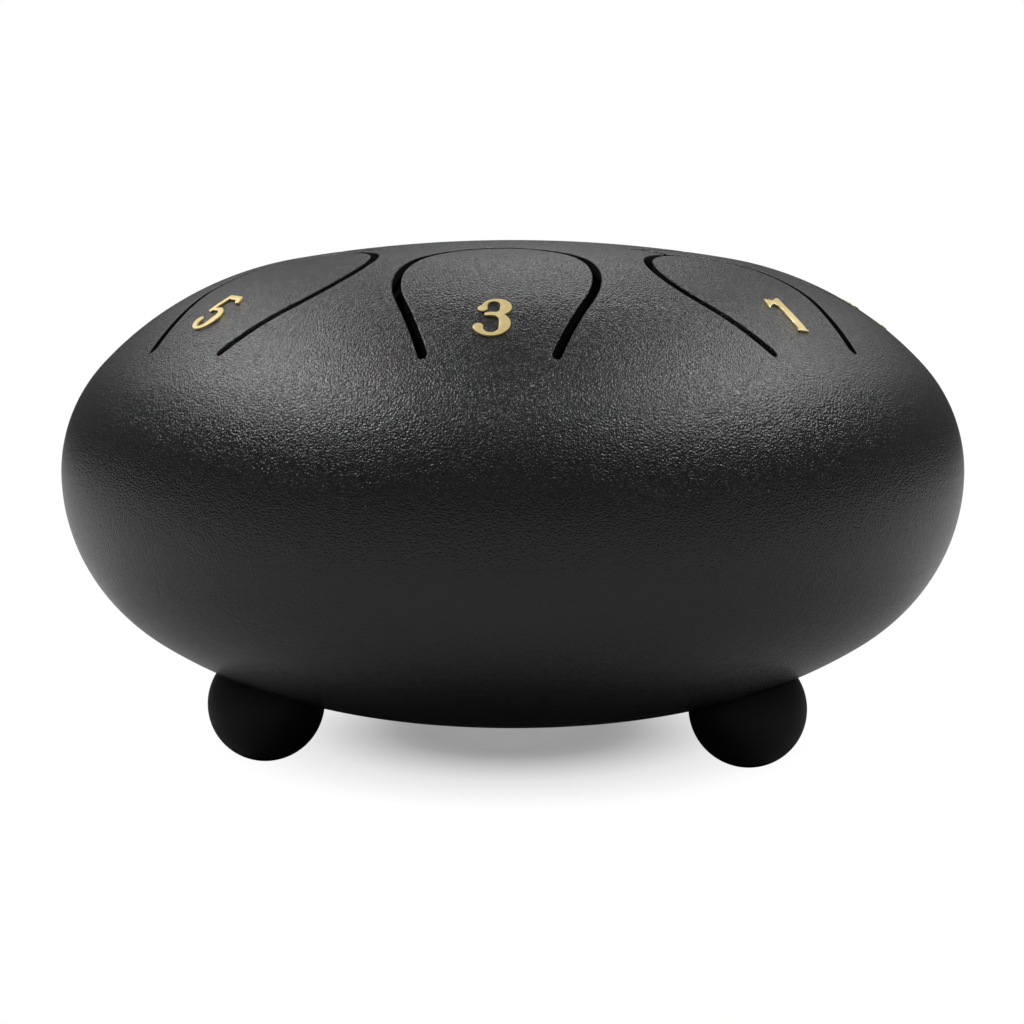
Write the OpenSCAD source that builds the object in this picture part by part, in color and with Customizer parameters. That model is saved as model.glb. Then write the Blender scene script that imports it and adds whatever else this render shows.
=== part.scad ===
// A small steel tongue drum: two pressed steel bowls welded rim to rim, eight tongues
// round the crown and one in its centre, raised numerals and three rubber ball feet.
// The origin is at the centre of the floor contact, +Z up, and tongue 3 points along -Y.

/* [Drum body] */
// Widest diameter of the drum, at the seam between its two bowls
body_d = 150; // [144:1:156]
// Thickness of the steel sheet
wall = 1.5; // [1.2:0.1:2]
// Height of the crown above the seam
crown_h = 38; // [36:0.5:41]
// Depth of the base below the seam
base_h = 40.7; // [39:0.1:43]
// Flatness of the crown's middle: its radius as a share of half the width squared over the height
crown_flatness = 1.4458; // [1.3:0.01:1.6]
// Radius of the crown's shoulder, as a share of half the width
crown_shoulder_share = 0.7467; // [0.68:0.01:0.8]
// Radius of the crown's rim, as a share of the crown's height
crown_rim_share = 0.6842; // [0.6:0.01:0.76]
// Flatness of the base's middle: its radius as a share of half the width squared over the depth
base_flatness = 1.4833; // [1.35:0.01:1.65]
// Radius of the base's haunch, which carries the feet, as a share of half the width
base_haunch_share = 0.9867; // [0.88:0.01:1.08]
// Radius of the base's rim, as a share of the base's depth
base_rim_share = 0.7862; // [0.7:0.01:0.84]
// Depth of the V that the seam's weld fills
weld_depth = 0.8; // [0.5:0.1:1]
// Diameter of the sound hole under the base
sound_hole_d = 32; // [24:1:40]
// Height of the lip turned in round the sound hole
lip_h = 3; // [1:0.5:5]

/* [Ring tongues] */
// Width of the cut round each tongue
slot_w = 1.3; // [0.8:0.1:1.4]
// Distance from the drum's widest edge in to the roots of the ring tongues
root_margin = 10.6; // [9:0.2:12]
// Half the distance between the two ends of a tongue's cut, as a share of its root's reach
root_half_share = 0.1413; // [0.13:0.0001:0.155]
// Reach of the tip of each tongue, 1 to 8, as a share of its root's reach
tip_shares = [0.5621, 0.5248, 0.4627, 0.5155, 0.5124, 0.5217, 0.5311, 0.5621];
// Half of each tongue's greatest width, 1 to 8, as a share of its root's reach
half_shares = [0.2065, 0.2236, 0.2236, 0.2236, 0.2283, 0.205, 0.2236, 0.2081];

/* [Centre tongue] */
// Radius of the centre tongue's cut, as a share of the reach of the ring tongues' roots
centre_cut_share = 0.4596; // [0.43:0.0001:0.46]
// Angle that the centre tongue's cut leaves open, where its root is
centre_mouth = 82; // [60:1:100]

/* [Numerals] */
// Height of a numeral
numeral_h = 8.6; // [7:0.1:9.5]
// Width of a round numeral
numeral_w = 5.3; // [4.6:0.1:6]
// Width of a thick stroke
stem_w = 1.6; // [1.3:0.05:1.9]
// Width of a thin stroke
hair_w = 0.65; // [0.5:0.05:0.9]
// Diameter of the ball that ends a curved stroke
ball_d = 1.4; // [1.2:0.1:1.6]
// Thickness of a numeral
numeral_t = 0.25; // [0.15:0.05:0.6]
// Thickness of the adhesive under a numeral
glue_t = 0.03; // [0.02:0.01:0.1]
// Distance from the roots of the ring tongues in to the middles of their numerals
numeral_margin = 5.4; // [5:0.1:8]
// How far each numeral, 1 to 8, is stuck to the right of its tongue's middle
numeral_aside = [0.4, 0, 0, 0, -1.3, 0, 0, 0];
// How far each numeral, 1 to 8, is stuck above the common ring
numeral_rise = [0.7, 0, 0, 0, 0.9, 0, 0, 0];
// Turn of each numeral, 1 to 8, as it is stuck on, in degrees
numeral_turn = [-10, 0, 0, 0, -9, 0, 0, 0];

/* [Feet] */
// Diameter of a rubber ball foot
foot_d = 18.8; // [16:0.2:20]
// Distance from the drum's axis to the middle of a foot, as a share of half the width
foot_reach_share = 0.596; // [0.54:0.001:0.66]
// Height of the base's middle above the floor
floor_gap = 5.25; // [5:0.05:7]
// Depth of the flat that a foot rests on
foot_flat = 0.3; // [0.2:0.1:0.8]
// Diameter of the foot's neck, where it passes through the base
neck_d = 6; // [5:0.5:8]
// Diameter of the head that holds the foot inside the base
head_d = 9; // [8.5:0.5:11]
// Height of that head
head_h = 3.5; // [2.5:0.5:5]
// Turn of the ring of feet about the drum's axis, in degrees
foot_turn = -0.3; // [-10:0.1:10]

/* [Hidden] */
$fn = 180;

powder_black = "#2a2a2c";
weld_black = "#242426";
numeral_gold = "#c9b067";
rubber_black = "#101011";

// Clearance between parts that seat on each other, and at the tongues' roots
seat_gap = 0.05;
root_gap = 0.02;
// How far neighbouring arcs of one outline cross each other
cross_gap = 0.01;
// How far a cutter runs past what it cuts
overrun = 1;
// Roundness of a tongue's tip, as a share of its half width
tip_round_share = 0.78;
// Notes whose cuts run on through a neck into the centre tongue's cut
necked_notes = [1, 5];
// Place of each note in the ring, in steps to the right of the front one
ring_place = [1, 2, 0, 3, -1, 4.05, -2, -3];
ring_step = 360 / len(ring_place);
// Small end of a foot's head, as a share of its large one
head_taper_share = 0.6;

half_d = body_d / 2;
equator_z = base_h + floor_gap;
half_slot = slot_w / 2;
root_reach = half_d - root_margin;
root_half = root_half_share * root_reach;
tip_reach = [for (share = tip_shares) share * root_reach];
tongue_half = [for (share = half_shares) share * root_reach];
centre_cut_r = centre_cut_share * root_reach;
numeral_reach = root_reach - numeral_margin;
foot_reach = foot_reach_share * half_d;
base_haunch_r = base_haunch_share * half_d;

// A side of the drum is three arcs that run into each other: centre and radius of each,
// in the half plane of radius and height from the seam. Each arc crosses the one before it
// by cross_gap, so that the corner between them is real but too faint to see.
function side_arcs(height, middle_r, shoulder_r, rim_r) =
    let (
        middle_c = [0, height - middle_r],
        rim_c = [half_d - rim_r, 0],
        apart = norm(rim_c - middle_c),
        to_rim = (rim_c - middle_c) / apart,
        from_middle = middle_r - shoulder_r + cross_gap,
        from_rim = shoulder_r - rim_r - cross_gap,
        along = (from_middle ^ 2 - from_rim ^ 2 + apart ^ 2) / (2 * apart),
        aside = sqrt(from_middle ^ 2 - along ^ 2)
    )
    [
        [middle_c, middle_r],
        [middle_c + along * to_rim + aside * [-to_rim.y, to_rim.x], shoulder_r],
        [rim_c, rim_r]
    ];

crown_arcs = side_arcs(
    crown_h,
    crown_flatness * half_d ^ 2 / crown_h,
    crown_shoulder_share * half_d,
    crown_rim_share * crown_h
);
base_arcs = side_arcs(
    base_h,
    base_flatness * half_d ^ 2 / base_h,
    base_haunch_r,
    base_rim_share * base_h
);

// Direction from one centre to the next, as an angle from straight up
function lean(from, to) = atan2(to.x - from.x, to.y - from.y);
function lean_point(from, angle, distance) = from + distance * [sin(angle), cos(angle)];

// Arc of a side that passes over a given distance from the axis
function arc_at(arcs, reach) =
    reach < lean_point(arcs[1][0], lean(arcs[0][0], arcs[1][0]), arcs[1][1]).x ? arcs[0]
    : reach < lean_point(arcs[2][0], lean(arcs[1][0], arcs[2][0]), arcs[2][1]).x ? arcs[1]
    : arcs[2];
function height_at(arcs, reach) =
    let (arc = arc_at(arcs, reach))
    arc[0].y + sqrt(arc[1] ^ 2 - (reach - arc[0].x) ^ 2);
function slope_at(arcs, reach) =
    let (arc = arc_at(arcs, reach))
    asin((reach - arc[0].x) / arc[1]);

// Everything on the axis side of a direction from an arc's centre
module axis_side(arc, angle) {
    far = lean_point(arc[0], angle, 2 * arc[1]);
    polygon([[-overrun, arc[0].y], arc[0], far, [-overrun, arc[0].y + 2 * arc[1]]]);
}

module arc_disc(arc, inset) {
    translate(arc[0]) circle(arc[1] - inset);
}

// Half section of one side of the drum, filled to the axis and the seam
module side_area(arcs, inset = 0) {
    intersection() {
        arc_disc(arcs[0], inset);
        union() {
            axis_side(arcs[0], lean(arcs[0][0], arcs[1][0]));
            intersection() {
                arc_disc(arcs[1], inset);
                union() {
                    axis_side(arcs[1], lean(arcs[1][0], arcs[2][0]));
                    arc_disc(arcs[2], inset);
                }
            }
        }
        square(body_d);
    }
}

// Half section of the groove round the seam
module weld_groove_area() {
    rise = weld_depth + overrun;
    polygon([[half_d - weld_depth, 0], [half_d + overrun, -rise], [half_d + overrun, rise]]);
}

// Turns a half section about the axis, at the height of the seam
module turned() {
    translate([0, 0, equator_z]) rotate_extrude() children();
}

module crown_sheet() {
    turned() difference() {
        side_area(crown_arcs);
        side_area(crown_arcs, wall);
        weld_groove_area();
    }
}

module base_sheet() {
    turned() difference() {
        mirror([0, 1]) side_area(base_arcs);
        mirror([0, 1]) side_area(base_arcs, wall);
        weld_groove_area();
    }
}

// Outline of a ring tongue in plan, its tip towards the axis and its root at root_reach.
// grow moves the whole outline outwards, and its arcs keep their centres.
module tongue_area(note, grow) {
    tip = tip_reach[note - 1];
    half = tongue_half[note - 1];
    tip_r = tip_round_share * half;
    tip_c = [tip + tip_r, 0];
    inner_r = tip_r - cross_gap;
    widest = (tip + root_reach) / 2;
    cheek_r = ((widest - tip_c.x) ^ 2 + half ^ 2 - inner_r ^ 2) / (2 * (half - inner_r));
    cheek_c = [widest, half - cheek_r];
    root_end = [root_reach, root_half];
    to_end = root_end - cheek_c;
    leg_lean = atan2(to_end.y, to_end.x) - asin(cheek_r / norm(to_end));
    leg_normal = [-sin(leg_lean), cos(leg_lean)];
    leg_start = cheek_c + (cheek_r + grow - cross_gap) * leg_normal;
    leg_end = root_end + (grow - cross_gap) * leg_normal;
    leg_foot = [root_reach, root_half + (grow - cross_gap) / cos(leg_lean)];
    leg_middle = (leg_start.x + root_reach) / 2;
    past_tip = tip_c + 2 * half * (tip_c - cheek_c) / norm(tip_c - cheek_c);
    intersection() {
        translate(cheek_c) circle(cheek_r + grow);
        translate([cheek_c.x, -cheek_c.y]) circle(cheek_r + grow);
        union() {
            translate(tip_c) circle(tip_r + grow);
            polygon([
                tip_c,
                [past_tip.x, -past_tip.y],
                [past_tip.x, -3 * half],
                [leg_middle, -3 * half],
                [leg_middle, 3 * half],
                [past_tip.x, 3 * half],
                past_tip
            ]);
        }
    }
    if (grow > 0)
        polygon([
            [leg_start.x, -leg_start.y],
            [leg_end.x, -leg_end.y],
            [root_end.x, -root_end.y],
            root_end,
            leg_end,
            leg_start
        ]);
    else
        polygon([
            [leg_start.x, -leg_start.y],
            [leg_foot.x, -leg_foot.y],
            leg_foot,
            leg_start
        ]);
}

// Round end of a cut
module cut_end() {
    circle(half_slot + cross_gap, $fn = 48);
}

// Hole that a ring tongue leaves in the crown, with the round ends of its cut
module tongue_hole_area(note) {
    tongue_area(note, half_slot);
    translate([root_reach - slot_w, -root_half]) square([slot_w + root_gap, 2 * root_half]);
    for (side = [-1, 1]) translate([root_reach, side * root_half]) cut_end();
    if (len(search(note, necked_notes)) > 0)
        translate([centre_cut_r, -half_slot]) square([tip_reach[note - 1] - centre_cut_r, slot_w]);
}

// Centre tongue in plan, its root across the mouth of its cut, towards the front
centre_chord = centre_cut_r * cos(centre_mouth / 2);

module centre_area(grow, root_extra) {
    keep = 2 * centre_cut_r;
    intersection() {
        circle(centre_cut_r + grow);
        translate([-keep, -centre_chord - root_extra]) square(2 * keep);
    }
}

module centre_hole_area() {
    centre_area(half_slot, root_gap);
    for (side = [-1, 1])
        translate([side * centre_cut_r * sin(centre_mouth / 2), -centre_chord])
            cut_end();
}

// Cuts a plan shape straight down through the crown
module through_crown() {
    translate([0, 0, equator_z]) linear_extrude(crown_h + overrun) children();
}

// Places a plan shape, drawn along +X, on the ring at a note's place
module at_note(note) {
    rotate(ring_step * ring_place[note - 1] - 90) children();
}

module upper_shell() {
    color(powder_black) difference() {
        crown_sheet();
        through_crown() centre_hole_area();
        for (note = [1:len(ring_place)])
            through_crown() at_note(note) tongue_hole_area(note);
    }
}

module tongue(note) {
    color(powder_black) intersection() {
        crown_sheet();
        through_crown() at_note(note) tongue_area(note, -half_slot);
    }
}

module centre_tongue() {
    color(powder_black) intersection() {
        crown_sheet();
        through_crown() centre_area(-half_slot, 0);
    }
}

module seam_weld() {
    color(weld_black) turned() intersection() {
        weld_groove_area();
        union() {
            side_area(crown_arcs);
            mirror([0, 1]) side_area(base_arcs);
        }
    }
}

// Middle of a foot's ball, and how its neck leans to stand square on the haunch
ball_z = foot_d / 2 - foot_flat;
haunch_c = base_arcs[1][0];
ball_drop = equator_z - ball_z;
neck_lean = lean(haunch_c, [foot_reach, ball_drop]);
ball_to_base = norm([foot_reach, ball_drop] - haunch_c) - base_haunch_r;
foot_angles = [for (k = [0:2]) foot_turn - 60 + 120 * k];

module at_foot(index) {
    rotate(foot_angles[index] - 90) translate([foot_reach, 0, ball_z]) children();
}

module along_neck(index) {
    at_foot(index) rotate([0, -neck_lean, 0]) children();
}

// Lip round the sound hole, turned in from the middle of the sheet's thickness
module hole_lip() {
    low_z = equator_z - height_at(base_arcs, sound_hole_d / 2) + wall / 2;
    top_z = floor_gap + wall + lip_h;
    translate([0, 0, low_z]) cylinder(h = top_z - low_z, d = sound_hole_d + 2 * wall);
}

module lower_shell() {
    color(powder_black) difference() {
        union() {
            base_sheet();
            hole_lip();
        }
        cylinder(h = equator_z, d = sound_hole_d);
        for (index = [0:2])
            along_neck(index) cylinder(h = ball_to_base + wall + head_h, d = neck_d + 2 * seat_gap, $fn = 48);
    }
}

module foot(index) {
    neck_top = ball_to_base + wall + 4 * seat_gap;
    color(rubber_black) union() {
        difference() {
            at_foot(index) sphere(d = foot_d, $fn = 96);
            turned() mirror([0, 1]) side_area(base_arcs, -seat_gap);
            translate([-body_d, -body_d, -body_d]) cube([2 * body_d, 2 * body_d, body_d]);
        }
        along_neck(index) cylinder(h = neck_top + head_h / 2, d = neck_d, $fn = 48);
        along_neck(index) translate([0, 0, neck_top])
            cylinder(h = head_h, d1 = head_d, d2 = head_d * head_taper_share, $fn = 48);
    }
}

top_y = numeral_h / 2;
right_x = numeral_w / 2;
// Radii of a numeral's upper and lower bowls, as shares of its height
upper_r = 0.245 * numeral_h;
lower_r = 0.308 * numeral_h;
// Heights of the arm between the bowls and of the gaps that open to its left
arm_y = 0.12 * top_y;
upper_open = 0.37 * top_y;
lower_open = -0.37 * top_y;
// Left ends of the counters
upper_left = -0.28 * right_x;
lower_left = -0.41 * right_x;
counter_right = right_x - stem_w;

// Upright slot shape with round ends between two corners
module counter(low, high) {
    r = (high.x - low.x) / 2;
    for (y = [low.y + r, high.y - r]) translate([low.x + r, y]) circle(r, $fn = 48);
    span([low.x, low.y + r], [high.x, high.y - r]);
}

// Box between two corners
module span(low, high) {
    translate(low) square(high - low);
}

module ball(left, y) {
    translate([left + ball_d / 2, y]) circle(ball_d / 2, $fn = 48);
}

// Points given as shares of half the width and half the height
function spread(points) = [for (p = points) [p.x * right_x, p.y * top_y]];

module upper_bowl(left) {
    difference() {
        translate([right_x - upper_r, top_y - upper_r]) circle(upper_r, $fn = 72);
        counter([left, arm_y + hair_w / 2], [counter_right, top_y - hair_w]);
        span([-numeral_w, -top_y], [left, upper_open]);
        span([-numeral_w, arm_y + hair_w / 2], [(left + counter_right) / 2, upper_open]);
    }
}

module lower_bowl() {
    difference() {
        translate([0, lower_r - top_y]) circle(lower_r, $fn = 72);
        counter([lower_left, hair_w - top_y], [counter_right, arm_y - hair_w / 2]);
        span([-numeral_w, lower_open - ball_d / 2], [upper_left, top_y]);
        span([-numeral_w, lower_open], [0, arm_y - hair_w / 2]);
    }
    ball(lower_left - ball_d, lower_open - ball_d / 2);
}

module digit_1() {
    stem_x = 0.7 * right_x;
    span([stem_x - stem_w, -top_y], [stem_x, top_y * 0.75]);
    span([stem_x - 1.15 * stem_w, -top_y], [stem_x + 0.15 * stem_w, -top_y + hair_w / 2]);
    polygon(spread([
        [0.7, 0.4],
        [0.7, 1],
        [0.51, 0.98],
        [0.02, 0.77],
        [-0.55, 0.79],
        [-0.72, 0.23],
        [-0.43, 0.42],
        [-0.09, 0.54],
        [0.08, 0.4]
    ]));
}

module digit_2() {
    difference() {
        upper_bowl(upper_left);
        span([-numeral_w, -top_y], [counter_right, upper_open]);
    }
    ball(upper_left - ball_d + hair_w / 4, upper_open + ball_d / 4);
    polygon(spread([
        [0.98, 0.5],
        [0.36, 0.5],
        [0.2, 0.18],
        [-1, -0.74],
        [-1, -1],
        [-0.4, -0.74],
        [0.8, 0.12]
    ]));
    polygon(spread([
        [-1, -1],
        [0.9, -1],
        [1, -0.5],
        [0.84, -0.5],
        [0.6, -0.7],
        [-0.7, -0.66]
    ]));
}

module digit_3() {
    difference() {
        upper_bowl(upper_left);
        translate([0, lower_r - top_y]) circle(lower_r - hair_w, $fn = 72);
    }
    lower_bowl();
    ball(upper_left - ball_d + hair_w / 8, upper_open + ball_d / 4);
    translate([upper_left, arm_y]) circle(hair_w / 2, $fn = 24);
}

module digit_4() {
    stem_x = 0.72 * right_x;
    bar_y = -0.36 * top_y;
    span([stem_x - stem_w, -top_y], [stem_x, top_y]);
    span([stem_x - 1.3 * stem_w, -top_y], [stem_x + 0.3 * stem_w, -top_y + hair_w * 0.7]);
    span([-right_x, bar_y - hair_w], [right_x, bar_y]);
    polygon(spread([
        [-1, -0.4],
        [-0.56, -0.4],
        [0.12, 0.5],
        [0.12, 1],
        [0.08, 1]
    ]));
}

module digit_5() {
    lower_bowl();
    span([-0.6 * right_x, arm_y - hair_w / 2], [0, arm_y + hair_w / 2]);
    polygon(spread([
        [-0.98, 1],
        [-0.98, 0],
        [-0.6, -0.08],
        [-0.56, 0.76],
        [0.3, 0.76],
        [0.68, 0.58],
        [0.9, 0.64],
        [0.5, 1]
    ]));
}

module digit_6() {
    ball_y = upper_open + ball_d / 4;
    difference() {
        counter([-right_x, -top_y], [right_x, top_y]);
        counter([stem_w - right_x, -top_y], [right_x - hair_w, top_y - hair_w]);
        span([0, -numeral_h], [numeral_w, ball_y]);
    }
    lower_ring();
    ball(right_x - ball_d, ball_y);
}

// Whole lower bowl of a 6
module lower_ring() {
    difference() {
        translate([0, lower_r - top_y]) circle(lower_r, $fn = 72);
        counter([stem_w - right_x, hair_w - top_y], [right_x - stem_w, arm_y]);
    }
}

module digit_7() {
    polygon(spread([
        [-1, 1],
        [-1, 0.46],
        [-0.82, 0.46],
        [-0.7, 0.7],
        [0.5, 0.7],
        [-0.42, -1],
        [0.28, -1],
        [1, 0.8],
        [1, 1]
    ]));
}

module digit_8() {
    side_w = 0.8 * stem_w;
    ring_r = 0.27 * numeral_h;
    difference() {
        translate([0, top_y - ring_r]) circle(ring_r, $fn = 72);
        counter([side_w - ring_r, arm_y + hair_w / 2], [ring_r - side_w, top_y - hair_w * 0.8]);
        translate([0, lower_r - top_y]) circle(lower_r - hair_w, $fn = 72);
    }
    difference() {
        translate([0, lower_r - top_y]) circle(lower_r, $fn = 72);
        counter([side_w - lower_r, hair_w * 0.8 - top_y], [lower_r - side_w, arm_y - hair_w / 2]);
    }
}

module digit_area(note) {
    if (note == 1) digit_1();
    if (note == 2) digit_2();
    if (note == 3) digit_3();
    if (note == 4) digit_4();
    if (note == 5) digit_5();
    if (note == 6) digit_6();
    if (note == 7) digit_7();
    if (note == 8) digit_8();
}

// Raised numeral that follows the crown under it, upright for a player outside the drum
module numeral(note) {
    depth = 2 * (numeral_t + glue_t) + numeral_h / 4;
    color(numeral_gold) intersection() {
        turned() difference() {
            side_area(crown_arcs, -glue_t - numeral_t);
            side_area(crown_arcs, -glue_t);
        }
        rotate(ring_step * ring_place[note - 1] - 90)
            translate([numeral_reach, 0, equator_z + height_at(crown_arcs, numeral_reach)])
                rotate([0, slope_at(crown_arcs, numeral_reach), 0])
                    rotate(90)
                        translate([numeral_aside[note - 1], numeral_rise[note - 1], -depth / 2])
                            rotate(numeral_turn[note - 1]) linear_extrude(depth) digit_area(note);
    }
}

upper_shell();
lower_shell();
seam_weld();
tongue(1);  // tongue_1
tongue(2);  // tongue_2
tongue(3);  // tongue_3
tongue(4);  // tongue_4
tongue(5);  // tongue_5
tongue(6);  // tongue_6
tongue(7);  // tongue_7
tongue(8);  // tongue_8
centre_tongue();
numeral(1);  // numeral_1
numeral(2);  // numeral_2
numeral(3);  // numeral_3
numeral(4);  // numeral_4
numeral(5);  // numeral_5
numeral(6);  // numeral_6
numeral(7);  // numeral_7
numeral(8);  // numeral_8
foot(0);  // foot_front_left
foot(1);  // foot_front_right
foot(2);  // foot_rear
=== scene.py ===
import math

import bmesh
import bpy
from bpy.props import FloatProperty, FloatVectorProperty, IntProperty, PointerProperty
from bpy.types import Operator, Panel, PropertyGroup
from mathutils import Matrix, Vector


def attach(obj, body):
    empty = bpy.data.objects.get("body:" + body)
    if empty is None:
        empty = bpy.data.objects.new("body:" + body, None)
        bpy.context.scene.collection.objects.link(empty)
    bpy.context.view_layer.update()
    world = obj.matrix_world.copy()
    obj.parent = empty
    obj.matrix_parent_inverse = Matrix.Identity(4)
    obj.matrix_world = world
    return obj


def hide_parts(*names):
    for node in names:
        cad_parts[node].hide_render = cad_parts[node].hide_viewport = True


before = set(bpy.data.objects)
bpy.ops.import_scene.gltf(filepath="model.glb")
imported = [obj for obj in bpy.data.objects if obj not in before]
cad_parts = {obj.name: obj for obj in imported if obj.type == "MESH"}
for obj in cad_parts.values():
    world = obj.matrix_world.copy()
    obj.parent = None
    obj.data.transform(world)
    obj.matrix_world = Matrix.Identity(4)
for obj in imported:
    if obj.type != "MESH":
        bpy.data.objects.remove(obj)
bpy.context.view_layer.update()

bl_info = {
    "name": "Steel Tongue Drum",
    "version": (1, 0, 0),
    "blender": (4, 5, 0),
    "location": "3D View > Sidebar > Drum",
    "description": "Builds a powder-coated steel tongue drum with gold numerals and ball feet",
    "category": "Add Mesh",
}

MM = 0.001

# Steps to the right of the front tongue at which each note sits in the ring, notes 1 to 8. Note 6
# stands a little aside, or a line of sight would go in through note 3's cut and out through its own.
RING_PLACE = (1, 2, 0, 3, -1, 4.05, -2, -3)
NOTES = range(1, len(RING_PLACE) + 1)
# Notes whose cuts run on through a neck into the centre tongue's cut
NECKED_NOTES = (1, 5)

# Degrees from one place in the ring to the next, and from +X to the front
RING_STEP, FRONT = 45, -90
# Degrees from +X to the first foot, at the front left, and from one foot to the next
FIRST_FOOT, FOOT_STEP = -150, 120

# Facets along the three arcs of a side, from the axis to the seam
CROWN_OUTSIDE, CROWN_INSIDE = (26, 36, 26), (10, 14, 10)
BASE_OUTSIDE, BASE_INSIDE, BASE_TRIM = (26, 30, 24), (12, 14, 12), (20, 24, 16)
# Facets along a tongue's leg, its cheek, its tip and the round end of its cut
LEG_STEPS, CHEEK_STEPS, TIP_STEPS, END_STEPS = 14, 28, 12, 8
# Facets round the centre tongue, along a side of a neck, across the weld and round a foot's neck
CENTRE_STEPS, NECK_STEPS, WELD_STEPS, STEM_STEPS = 120, 4, 3, 48

# Rounded edge along a cut, in shares of its radius: out from the cut's wall, and up from the surface
EDGE_ROUND = ((0, -1), (0.076, -0.617), (0.293, -0.293), (1.25, 0.104))
# How far above the seam a cutter starts, and above the crown it ends
CUTTER_MARGIN = 6 * MM
# How closely a face has to follow its side to be part of the surface, or of a rounded edge
IN_SURFACE, ON_EDGE = 0.985, 0.05

# Numerals: degrees between faces that count as one, and past which an edge stays sharp
NUMERAL_FLAT, NUMERAL_SHARP = 4, 28
# How closely a numeral's front and flank, and the ends of its bevel, follow the crown
NUMERAL_FACE, NUMERAL_FLANK = 0.9, 0.6
BEVEL_LOW, BEVEL_HIGH = 0.2, 0.97

# Turn of the sheet into the sound hole's lip: its radius, the middle of its inner corner, and how far
# from the lip the base's own curve starts outside, inside and in the shading
LIP_TURN_R, LIP_TURN_MID = 1.2 * MM, 0.35 * MM
LIP_CLEAR_OUTSIDE, LIP_CLEAR_INSIDE, LIP_SOFT = 2 * MM, 1.5 * MM, 4 * MM

# Gaps round a foot: between ball and base, round the neck in its hole, and under the head
FOOT_GAP, NECK_GAP, HEAD_GAP = 0.05 * MM, 0.05 * MM, 0.2 * MM
# Bevel of the head, its tip's radius as a share of its diameter, and the trimming form's lid
HEAD_BEVEL, HEAD_TIP, TRIM_LID = 0.3 * MM, 0.3, 1 * MM

# Lamps: name, degrees from the front to the right, degrees up, and watts
LAMPS = (
    ("lamp_left", -90, 52, 3.8),
    ("lamp_right", 90, 52, 3.5),
    ("lamp_front_left", -52, 50, 1.45),
    ("lamp_front_right", 52, 50, 1.3),
    ("lamp_back_left", -142, 36, 0.45),
    ("lamp_back_right", 142, 36, 0.45),
    ("lamp_back", 180, 42, 0.6),
)
LAMP_SIZE, LAMP_AWAY = 0.32, 0.9
# Camera: degrees from the front to the right and up, distance in drum radii, lens and shifts
CAMERA_TURN, CAMERA_RISE, CAMERA_AWAY = 2.8, 5.16, 4.15
CAMERA_LENS, CAMERA_SHIFT_X, CAMERA_SHIFT_Y = 63.95, -0.0008, -0.0466

# Floor: half its width, how far it lies under the feet, and its own light near the drum
FLOOR_HALF, FLOOR_DROP, FLOOR_GLOW = 20, 0.02 * MM, 0.30
# Distances from the axis, in metres, over which the floor turns plain white to the camera
FLOOR_FADE = ((0.018, 0.0), (0.0345, 0.68), (0.05, 1.0))
# World: its light, the strength that the coat mirrors, and that strength's share from horizon to zenith
WORLD_LIGHT, WORLD_SHEEN = 0.16, 0.40
WORLD_SKY = ((0.05, 0.18), (0.80, 1.0))


def length(name, description, default, **more):
    """A length in metres, given in millimetres."""
    return FloatProperty(
        name=name, description=description, default=default * MM, unit="LENGTH", precision=5, **more
    )


def lengths(name, description, default):
    """Several lengths, given in millimetres."""
    return FloatVectorProperty(
        name=name,
        description=description,
        size=len(default),
        default=[d * MM for d in default],
        unit="LENGTH",
    )


def angle(name, description, default):
    """An angle, given in degrees."""
    return FloatProperty(
        name=name, description=description, default=math.radians(default), subtype="ANGLE"
    )


def colour(name, description, default):
    """A colour in linear light."""
    return FloatVectorProperty(
        name=name, description=description, size=3, subtype="COLOR", default=default, min=0, max=1
    )


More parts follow.
